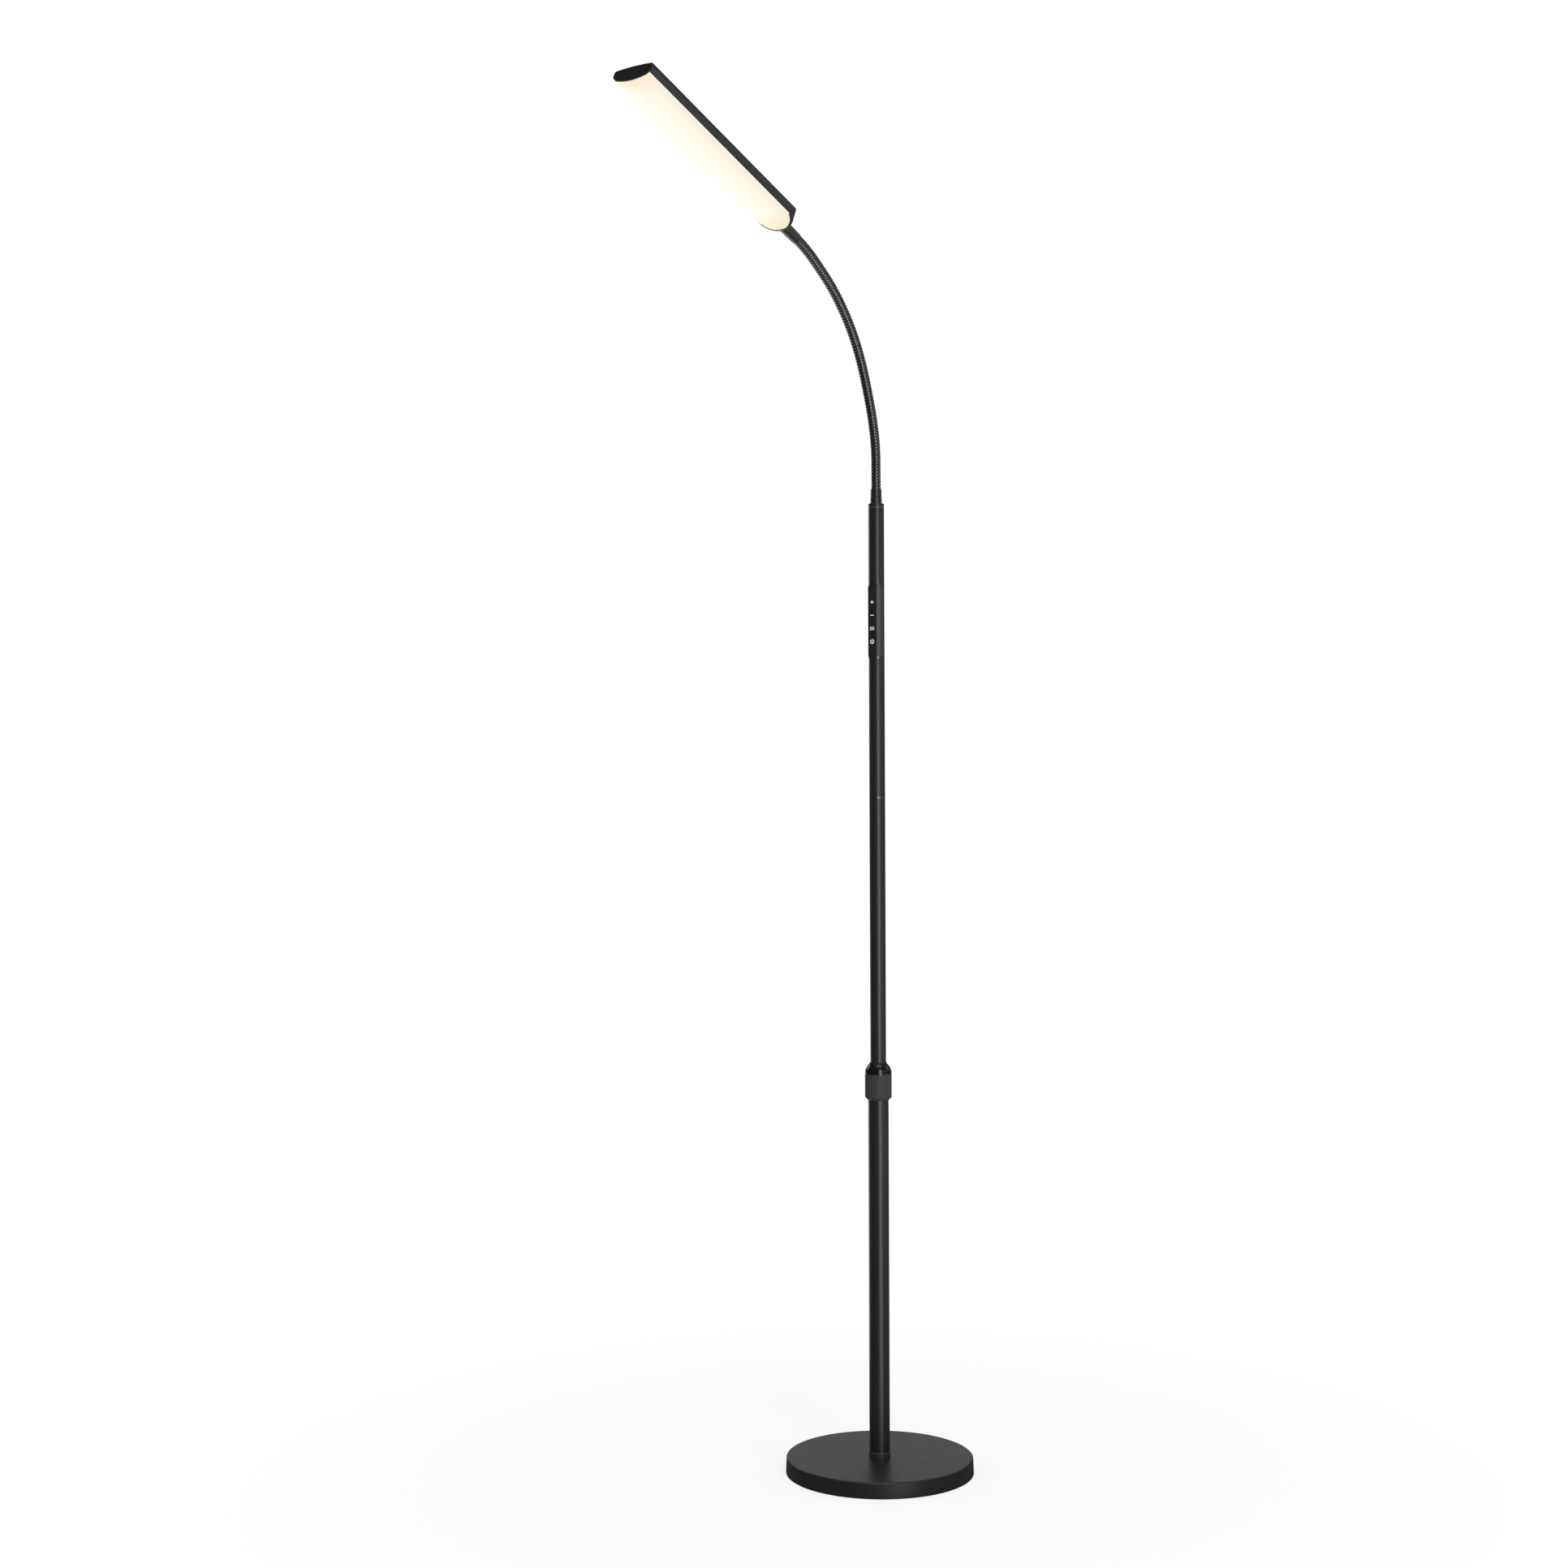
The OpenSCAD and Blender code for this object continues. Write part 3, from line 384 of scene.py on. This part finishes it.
def moulded_plastic(name, color=(0.016, 0.016, 0.017), roughness=0.46, specular=0.5):
    """Moulded plastic with a fine spark-eroded grain."""
    finish = Finish(name, color, roughness, Specular_IOR_Level=specular)
    pits = finish.noise(0.35 * MM, 3, 0.6)
    finish.set("Base Color", finish.mix(pits, [0.7 * c for c in color], [1.3 * c for c in color]))
    finish.set("Roughness", finish.span(pits, 0.25, 0.75, roughness - 0.05, roughness + 0.06))
    finish.bump(pits, 0.012 * MM)
    return finish


def plated_steel(name, color=(0.55, 0.55, 0.53), roughness=0.32):
    """Bright zinc plate with faint turning marks and clouds."""
    finish = Finish(name, color, roughness, Metallic=1.0)
    clouds = finish.noise(3 * MM, 4)
    finish.set("Base Color", finish.mix(clouds, [0.8 * c for c in color], [1.1 * c for c in color]))
    finish.set("Roughness", finish.span(clouds, 0.2, 0.8, roughness - 0.08, roughness + 0.1))
    finish.bump(finish.noise(0.25 * MM, 2), 0.006 * MM)
    return finish


def cast_iron(name):
    """Cast iron with a rough, dark skin."""
    finish = Finish(name, (0.09, 0.09, 0.09), 0.7, Metallic=0.6)
    rough_skin = finish.noise(1.4 * MM, 5, 0.6)
    finish.set("Base Color", finish.mix(rough_skin, (0.05, 0.048, 0.045), (0.15, 0.145, 0.14)))
    finish.bump(rough_skin, 0.15 * MM)
    return finish


def foam(name):
    """Closed-cell foam: small round pores in a matt black sheet."""
    finish = Finish(name, (0.012, 0.012, 0.012), 0.9)
    cells = finish.node("ShaderNodeTexVoronoi", {}, {"Vector": finish.place(),
        "Scale": 1 / (0.7 * MM)}, "Distance")
    finish.set("Base Color", finish.mix(cells, (0.008, 0.008, 0.008), (0.024, 0.024, 0.024)))
    finish.bump(cells, 0.12 * MM)
    return finish


def circuit_board(name, mask, track, pitch):
    """Solder mask with the tracks under it showing as fine lines in two directions."""
    finish = Finish(name, mask, 0.32)
    x, y, z = finish.axes()
    lines = finish.span((z * (2 * math.pi / pitch)).wave(), 0.55, 0.75)
    columns = finish.span((x * (2 * math.pi / pitch)).wave(), 0.55, 0.75)
    zones = finish.span(finish.noise(9 * MM, 0), 0.46, 0.5)
    tracks = lines * zones + columns * (1 - zones)
    finish.set("Base Color", finish.mix(tracks, mask, track))
    finish.bump(tracks, 0.03 * MM)
    return finish


def diffuser_finish(name):
    """Opal diffuser, lit from behind: nearly white in the middle and warm towards its edges."""
    finish = Finish(name, (0.10, 0.094, 0.082), 0.38, Emission_Strength=1.0,
        Specular_IOR_Level=0.15)
    head, lean = neck_frame(NECK_LENGTH + HEAD_FERRULE)
    turned = finish.node("ShaderNodeMapping", {"vector_type": "TEXTURE"}, {"Vector": finish.place(),
        "Location": head, "Rotation": (lean, 0, 0)})
    x, y, z = finish.axes(turned)
    from_side = LIT_HALF_WIDTH - abs(x)
    from_end = (HEAD_LENGTH - LIT_START) / 2 - abs(z - (HEAD_LENGTH + LIT_START) / 2)
    across = finish.mix(finish.span(from_side, 0, LIT_SIDE_FADE), LIT_SIDE, LIT_MIDDLE)
    along = finish.mix(finish.span(from_end, 0, LIT_END_FADE), LIT_END, across)
    edge_line = finish.span(from_side, 0.5 * MM, 1.1 * MM, 1, 0)
    left_edge = finish.span(x, -20 * MM, -24 * MM)
    finish.set("Emission Color", finish.mix(finish.either(edge_line, left_edge), along, LIT_LINE))
    finish.bump(finish.noise(0.5 * MM, 2), 0.004 * MM)
    return finish


def collar_finish(name):
    """The collar: a matt ribbed grip under a dark, glossy shoulder."""
    finish = moulded_plastic(name, COLLAR_GREY, 0.6)
    x, y, z = finish.axes()
    shoulder = z > COLLAR_SHOULDER
    finish.set("Base Color", finish.mix(shoulder, COLLAR_GREY, (0.005, 0.005, 0.005)))
    finish.set("Roughness", finish.span(shoulder, 0, 1, 0.6, 0.24))
    return finish


def foot_ring_finish(name):
    """The ring round the foot of the pole, with a painted highlight along its upper edge."""
    finish = moulded_plastic(name, FOOT_RING_GREY, 0.36)
    x, y, z = finish.axes()
    # Painted highlight: a lighter band along the top edge of the ring, where light catches it.
    painted_highlight = finish.span(z, FOOT_RING_TOP - 0.9 * MM, FOOT_RING_TOP - 0.5 * MM)
    finish.set("Base Color", finish.mix(painted_highlight, FOOT_RING_GREY, (0.05, 0.05, 0.05)))
    return finish


def cap_finish(name):
    """The black cap with the bright ring that shows where it sits on the tube."""
    finish = powder_coat(name)
    x, y, z = finish.axes()
    ring = finish.span(z, CAP_RING_TOP, CAP_RING_TOP + 0.25 * MM, 1, 0)
    finish.set("Base Color", finish.mix(ring, (0.012, 0.012, 0.012), (0.07, 0.07, 0.07)))
    finish.set("Metallic", ring * 0.4)
    return finish


def socket_finish(name):
    """Black barrel with a bright pin and contact sleeve inside."""
    finish = moulded_plastic(name)
    x, y, z = finish.axes()
    up = z - SOCKET_HEIGHT
    inside = (x * x + up * up) < SOCKET_BORE ** 2
    metal = inside * (y < SOCKET_MOUTH)
    finish.set("Base Color", finish.mix(metal, (0.016, 0.016, 0.017), (0.55, 0.52, 0.45)))
    finish.set("Metallic", metal)
    return finish


def wire_finish(name):
    """Two wires: red insulation on one side and black on the other."""
    finish = Finish(name, (0.3, 0.02, 0.015), 0.4)
    x, y, z = finish.axes()
    scuffs = finish.noise(2 * MM, 3)
    red = finish.mix(scuffs, (0.32, 0.018, 0.014), (0.42, 0.03, 0.02))
    finish.set("Base Color", finish.mix(x > 0, red, (0.012, 0.012, 0.013)))
    finish.bump(scuffs, 0.02 * MM)
    return finish


def chip_finish(name):
    """Light chips: a yellow phosphor window in a white body, glowing through the diffuser."""
    finish = Finish(name, (0.8, 0.62, 0.2), 0.45, Emission_Strength=0.6)
    specks = finish.noise(0.3 * MM, 2)
    finish.set("Base Color", finish.mix(specks, (0.85, 0.60, 0.16), (0.9, 0.74, 0.32)))
    finish.set("Emission Color", finish.mix(specks, (0.95, 0.70, 0.34), (1.0, 0.82, 0.50)))
    finish.bump(specks, 0.03 * MM)
    return finish


def pale_plastic(name, color):
    """Pale moulded plastic, slightly uneven in tone."""
    finish = Finish(name, color, 0.4)
    cloud = finish.noise(2.5 * MM, 2)
    finish.set("Base Color", finish.mix(cloud, [0.88 * c for c in color], color))
    finish.bump(finish.noise(0.4 * MM, 2), 0.01 * MM)
    return finish


def dress_nodes():
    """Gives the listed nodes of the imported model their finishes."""
    coat = powder_coat("black_powder_coat")
    plated = plated_steel("zinc_plate")
    finishes = {
        coat: ("base_cover", "lower_tube", "extension_tube", "control_tube", "head_housing"),
        cast_iron("cast_iron"): ("base_weight",),
        foam("foam_pad"): ("base_pad",),
        plated: ("base_bolt", "base_washer", "pole_plug", "board_screws", "neck_nut", "head_nut",
            "led_screws"),
        foot_ring_finish("foot_ring_plastic"): ("pole_foot",),
        # The collet is black nylon, painted darker still: painted shade in the gap where the tube
        # enters the collar.
        moulded_plastic("collet_nylon_painted_shade", (0.003, 0.003, 0.003), 0.75): ("clamp_collet",),
        collar_finish("collar_plastic"): ("clamp_collar",),
        pale_plastic("acetal", (0.78, 0.78, 0.75)): ("guide_bush",),
        plated_steel("joiner_steel", (0.16, 0.16, 0.165), 0.3): ("tube_joiner",),
        moulded_plastic("panel_plastic", (0.014, 0.014, 0.015), 0.24, specular=1.0):
            ("control_cover",),
        moulded_plastic("button_plastic", (0.004, 0.004, 0.004), 0.5): ("button_plus",
            "button_minus", "button_mode", "button_power"),
        circuit_board("green_board", (0.008, 0.07, 0.02), (0.03, 0.16, 0.06), 1.6 * MM):
            ("control_board",),
        circuit_board("white_board", (0.80, 0.80, 0.77), (0.68, 0.67, 0.62), 5 * MM):
            ("led_board",),
        pale_plastic("switch_plastic", (0.45, 0.45, 0.43)): ("button_switches",),
        moulded_plastic("receiver_plastic", (0.008, 0.006, 0.010), 0.2): ("remote_receiver",),
        moulded_plastic("part_epoxy", (0.02, 0.02, 0.02), 0.5): ("board_parts",),
        socket_finish("socket_plastic"): ("power_socket",),
        wire_finish("wire_insulation"): ("lamp_wires", "led_wires"),
        cap_finish("cap_coat"): ("tube_cap",),
        powder_coat("ferrule_coat", (0.012, 0.012, 0.012), 0.36): ("neck_ferrule", "head_ferrule"),
        chip_finish("light_chips"): ("led_chips",),
        pale_plastic("plug_plastic", (0.75, 0.73, 0.66)): ("led_plug",),
        diffuser_finish("lit_opal"): ("diffuser",),
    }
    for finish, names in finishes.items():
        for name in names:
            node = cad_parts[name]
            node.data.materials.clear()
            node.data.materials.append(finish.material)


# New pieces

def make_piece(name, shape, finish):
    """Turns a finished mesh into an object with its normals outwards."""
    bmesh.ops.remove_doubles(shape, verts=shape.verts, dist=0.0005 * MM)
    bmesh.ops.recalc_face_normals(shape, faces=shape.faces)
    mesh = bpy.data.meshes.new(name)
    shape.to_mesh(mesh)
    shape.free()
    piece = bpy.data.objects.new(name, mesh)
    bpy.context.scene.collection.objects.link(piece)
    mesh.materials.append(finish.material)
    return piece


def wire_height(along, side):
    """How far the round wire stands out of the core, from 0 to 1, as it winds up the gooseneck."""
    if not 0 < along < NECK_LENGTH:
        return 0
    turn = (along / PART * TURNS_PER_PART + side / (2 * math.pi)) % 1
    across = (2 * turn - 1) / WIRE_SHARE
    return math.sqrt(1 - across * across) if abs(across) < 1 else 0


def neck_sleeve(name, start, end, finish):
    """A stretch of the wound gooseneck from one length along it to another, with its bore."""
    count = round((end - start) / (PART / TURNS_PER_PART) * RINGS_PER_TURN)
    steps = [start + (end - start) * k / count for k in range(count + 1)]
    shape = bmesh.new()
    outer = [shape.verts.new((CORE_RADIUS, 0, s)) for s in steps]
    inner = [shape.verts.new((BORE_RADIUS, 0, s)) for s in reversed(steps[::5] + [end])]
    loop = outer + inner
    edges = [shape.edges.new((a, b)) for a, b in zip(loop, loop[1:] + loop[:1])]
    bmesh.ops.spin(shape, geom=loop + edges, cent=(0, 0, 0), axis=(0, 0, 1),
        angle=2 * math.pi, steps=NECK_SIDES, use_merge=True)
    for vert in shape.verts:
        side = math.atan2(vert.co.y, vert.co.x)
        radius = math.hypot(vert.co.x, vert.co.y)
        if radius > (CORE_RADIUS + BORE_RADIUS) / 2:
            radius += (WIRE_RADIUS - CORE_RADIUS) * wire_height(vert.co.z, side)
        point, lean = neck_frame(vert.co.z)
        across = Vector((0, math.cos(lean), math.sin(lean)))
        vert.co = point + radius * (math.cos(side) * Vector((1, 0, 0)) + math.sin(side) * across)
    piece = make_piece(name, shape, finish)
    for face in piece.data.polygons:
        face.use_smooth = True
    return piece


def make_gooseneck():
    """One stretch for each bend, reaching half a part to both sides of its pivot, and two ends."""
    finish = powder_coat("gooseneck_coat", (0.010, 0.010, 0.010), 0.28, 0.9)
    bodies = ["upper_pole"] + [f"neck_{k}" for k in range(1, BENDS)] + ["head"]
    pivots = [PART * k - BALL_RADIUS for k in range(1, BENDS + 1)]
    foot = neck_sleeve("gooseneck_foot", -NECK_SOCKET, pivots[0] - PART / 2, finish)
    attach(foot, "upper_pole")
    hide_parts("neck_part_0")
    for k, pivot in enumerate(pivots):
        start, end = pivot - PART / 2, pivot + PART / 2
        piece = neck_sleeve(f"gooseneck_bend_{k + 1}", start, end, finish)
        bodies[k + 1]
        neck_frame(start)[0]
        neck_frame(end)[0]
        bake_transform(piece)
        if k + 1 < BENDS:
            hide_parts(f"neck_part_{k + 1}")
    top = neck_sleeve("gooseneck_top", pivots[-1] + PART / 2, NECK_LENGTH + NECK_SOCKET, finish)
    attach(top, "head")
    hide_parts("neck_part_9")


def raise_symbol(name, shape, finish):
    """Gives a flat symbol, drawn in X and Y, its thickness and puts it on its button's face."""
    faces = shape.faces[:]
    risen = bmesh.ops.extrude_face_region(shape, geom=faces)
    bmesh.ops.translate(shape, vec=(0, 0, 2 * SYMBOL_DEPTH),
        verts=[v for v in risen["geom"] if isinstance(v, bmesh.types.BMVert)])
    bmesh.ops.translate(shape, vec=(0, 0, -SYMBOL_DEPTH), verts=shape.verts)
    bmesh.ops.rotate(shape, cent=(0, 0, 0), matrix=Matrix.Rotation(math.pi / 2, 3, "X"),
        verts=shape.verts)
    bmesh.ops.translate(shape, vec=(0, BUTTON_FACE, BUTTON_HEIGHTS[name]), verts=shape.verts)
    piece = make_piece(f"symbol_{name}", shape, finish)
    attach(piece, name)


def outline_symbol(points):
    """A flat symbol with one straight-sided outline."""
    shape = bmesh.new()
    shape.faces.new([shape.verts.new((x, y, 0)) for x, y in points])
    return shape


def round_corners(shape, verts, radius):
    """Rounds corners of a flat symbol."""
    bmesh.ops.bevel(shape, geom=verts, offset=radius, offset_type="OFFSET", segments=4,
        profile=0.5, affect="VERTICES", material=-1)


def plus_symbol():
    """A cross of two equal bars."""
    arm, half = 2.35 * MM, STROKE / 2
    shape = outline_symbol([(-half, -arm), (half, -arm), (half, -half), (arm, -half), (arm, half),
        (half, half), (half, arm), (-half, arm), (-half, half), (-arm, half), (-arm, -half),
        (-half, -half)])
    tips = [v for v in shape.verts if max(abs(v.co.x), abs(v.co.y)) > arm - 0.01 * MM]
    round_corners(shape, tips, 0.2 * MM)
    return shape


def minus_symbol():
    """One level bar."""
    arm, half = 2.35 * MM, STROKE / 2
    shape = outline_symbol([(-arm, -half), (arm, -half), (arm, half), (-arm, half)])
    round_corners(shape, shape.verts[:], 0.2 * MM)
    return shape


def mode_symbol():
    """A frame with two windows side by side."""
    wide, tall, line = 3.0 * MM, 1.9 * MM, 0.95 * MM
    columns = (-wide, -wide + line, -line / 2, line / 2, wide - line, wide)
    rows = (-tall, -tall + line, tall - line, tall)
    shape = bmesh.new()
    bmesh.ops.create_grid(shape, x_segments=5, y_segments=3, size=1)
    for vert in shape.verts:
        vert.co.x = columns[round((vert.co.x + 1) * 2.5)]
        vert.co.y = rows[round((vert.co.y + 1) * 1.5)]
    windows = [f for f in shape.faces if abs(f.calc_center_median().y) < line / 2
        and abs(abs(f.calc_center_median().x) - wide / 2) < line]
    bmesh.ops.delete(shape, geom=windows, context="FACES")
    corners = [v for v in shape.verts if abs(v.co.x) > wide - 0.01 * MM
        and abs(v.co.y) > tall - 0.01 * MM]
    round_corners(shape, corners, 0.5 * MM)
    return shape


def power_symbol():
    """A ring that is open at the top, with a bar in the opening."""
    inner, outer, gap = 1.45 * MM, 2.9 * MM, math.radians(34)
    shape = bmesh.new()
    low, high = shape.verts.new((0, inner, 0)), shape.verts.new((0, outer, 0))
    edge = shape.edges.new((low, high))
    bmesh.ops.rotate(shape, cent=(0, 0, 0), matrix=Matrix.Rotation(gap, 3, "Z"), verts=[low, high])
    bmesh.ops.spin(shape, geom=[low, high, edge], cent=(0, 0, 0), axis=(0, 0, 1),
        angle=2 * math.pi - 2 * gap, steps=36)
    half = 0.5 * MM
    shape.faces.new([shape.verts.new((x, y, 0)) for x, y in ((-half, 0.5 * MM), (half, 0.5 * MM),
        (half, 3.1 * MM), (-half, 3.1 * MM))])
    return shape


def make_symbols():
    """The printed symbols of the four buttons."""
    finish = Finish("white_print", (0.72, 0.72, 0.72), 0.5)
    wear = finish.noise(0.8 * MM, 3)
    finish.set("Base Color", finish.mix(wear, (0.62, 0.62, 0.62), (0.78, 0.78, 0.78)))
    finish.bump(wear, 0.01 * MM)
    for name, draw in (("plus", plus_symbol), ("minus", minus_symbol), ("mode", mode_symbol),
            ("power", power_symbol)):
        raise_symbol(name, draw(), finish)


make_camera()
make_world()
make_floor()
light_the_studio()
dress_nodes()
make_gooseneck()
make_symbols()

bpy.context.scene.view_settings.view_transform = "Standard"
